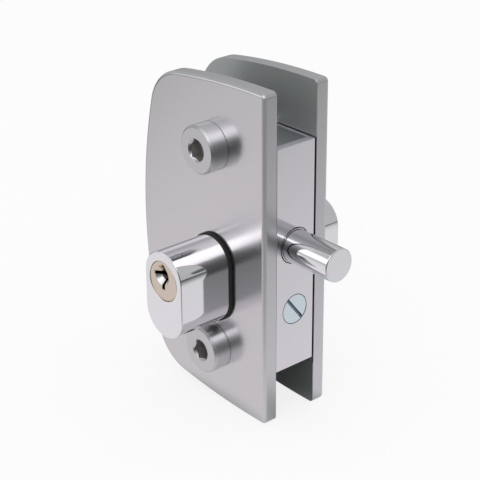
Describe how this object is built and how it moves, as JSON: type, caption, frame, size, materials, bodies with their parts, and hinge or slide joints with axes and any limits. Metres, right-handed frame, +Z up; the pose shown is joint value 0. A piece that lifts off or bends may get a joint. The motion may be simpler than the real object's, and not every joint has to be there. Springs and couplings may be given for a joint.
{
  "type": "glass door lock",
  "caption": "Clamp-on lock for a frameless glass door: a slim case between two plates with a round sliding bolt and an oval key cylinder on each side.",
  "frame": {"origin": "on the bolt's axis, in the plane of the plates' straight door edge, midway between the two plates", "axes": "+X along the bolt, the way it throws; +Y from the front plate to the rear plate; +Z up, along the plates' height"},
  "size_m": [0.0777, 0.0662, 0.11],
  "materials": {
    "satin_plate": "satin stainless, fine horizontal brushing",
    "clamp_head": "turned satin stainless",
    "case_steel": "pale satin nickel plating",
    "chrome": "polished chrome plating",
    "plug_brass": "satin nickel-brass",
    "black_rubber": "matte black",
    "zinc": "bright bluish zinc plating",
    "inner_steel": "plain machined steel",
    "inner_brass": "plain brass",
    "spring_steel": "drawn spring wire"
  },
  "bodies": {
    "lock_body": {"front_plate": "satin_plate", "rear_plate": "satin_plate", "front_gasket": "black_rubber", "rear_gasket": "black_rubber", "clamp_screws": "clamp_head", "clamp_nuts": "clamp_head", "case": "case_steel", "case_cover": "case_steel", "cover_screws": "zinc", "faceplate": "case_steel", "faceplate_pins": "inner_steel", "guide_pins": "inner_steel", "front_cylinder": "chrome", "front_driver_pins": "inner_steel", "front_pin_caps": "inner_brass", "front_pin_springs": "spring_steel", "rear_cylinder": "chrome", "rear_driver_pins": "inner_steel", "rear_pin_caps": "inner_brass", "rear_pin_springs": "spring_steel", "cylinder_bridge": "inner_steel", "bridge_pins": "inner_steel", "fixing_screw": "zinc", "bolt_guide": "inner_brass", "friction_plunger": "inner_brass", "friction_spring": "spring_steel", "friction_screw": "inner_steel"},
    "front_plug_set": {"front_plug": "plug_brass", "front_plug_clip": "spring_steel", "front_key_pins": "inner_brass", "cam": "inner_steel", "clutch_dog": "inner_steel"},
    "rear_plug_set": {"rear_plug": "plug_brass", "rear_plug_clip": "spring_steel", "rear_key_pins": "inner_brass"},
    "bolt_set": {"bolt": "chrome", "bolt_tail": "inner_steel", "tail_screws": "inner_steel"}
  },
  "joints": [
    {"name": "front_plug_turn", "type": "hinge", "parent": "lock_body", "child": "front_plug_set", "pos_m": [-0.0238, 0, -0.01], "axis": [0, 1, 0], "range_deg": [-90, 0]},
    {"name": "bolt_throw", "type": "slide", "parent": "lock_body", "child": "bolt_set", "axis": [1, 0, 0], "range_m": [-0.019, 0]},
    {"name": "rear_plug_turn", "type": "hinge", "parent": "lock_body", "child": "rear_plug_set", "pos_m": [-0.0238, 0, -0.01], "axis": [0, 1, 0], "range_deg": [-90, 0]}
  ],
  "couplings": [
    {"joint": "front_plug_turn", "follows": "bolt_throw", "rad_per_m": 82.673}
  ]
}
